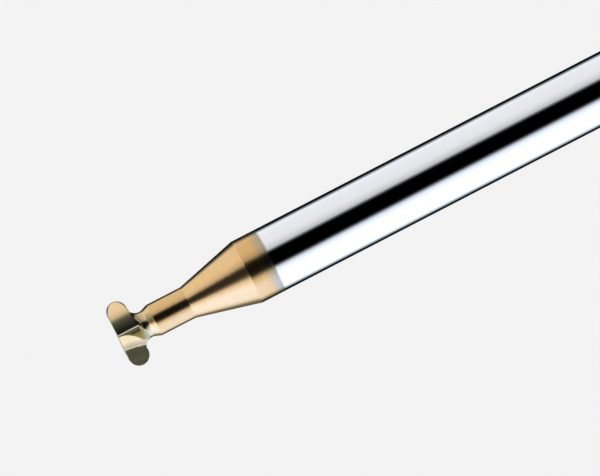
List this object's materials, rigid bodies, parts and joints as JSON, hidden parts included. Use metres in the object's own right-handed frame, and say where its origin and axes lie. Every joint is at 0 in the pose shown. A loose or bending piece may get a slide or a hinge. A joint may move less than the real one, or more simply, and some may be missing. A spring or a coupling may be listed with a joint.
{
  "type": "t slot cutter",
  "caption": "Solid carbide T-slot cutter: full-radius toothed head on a slim undercut neck that tapers to a straight polished shank, with a gold coating on the front end.",
  "frame": {"origin": "centre of the shank's end face", "axes": "+Z along the axis from the shank to the teeth; +X and -X through the tips of the teeth"},
  "size_m": [0.006, 0.006, 0.06],
  "materials": {
    "coated_carbide": "polished carbide, gold coating on the front end"
  },
  "bodies": {
    "root": {"cutter": "coated_carbide"}
  },
  "joints": []
}
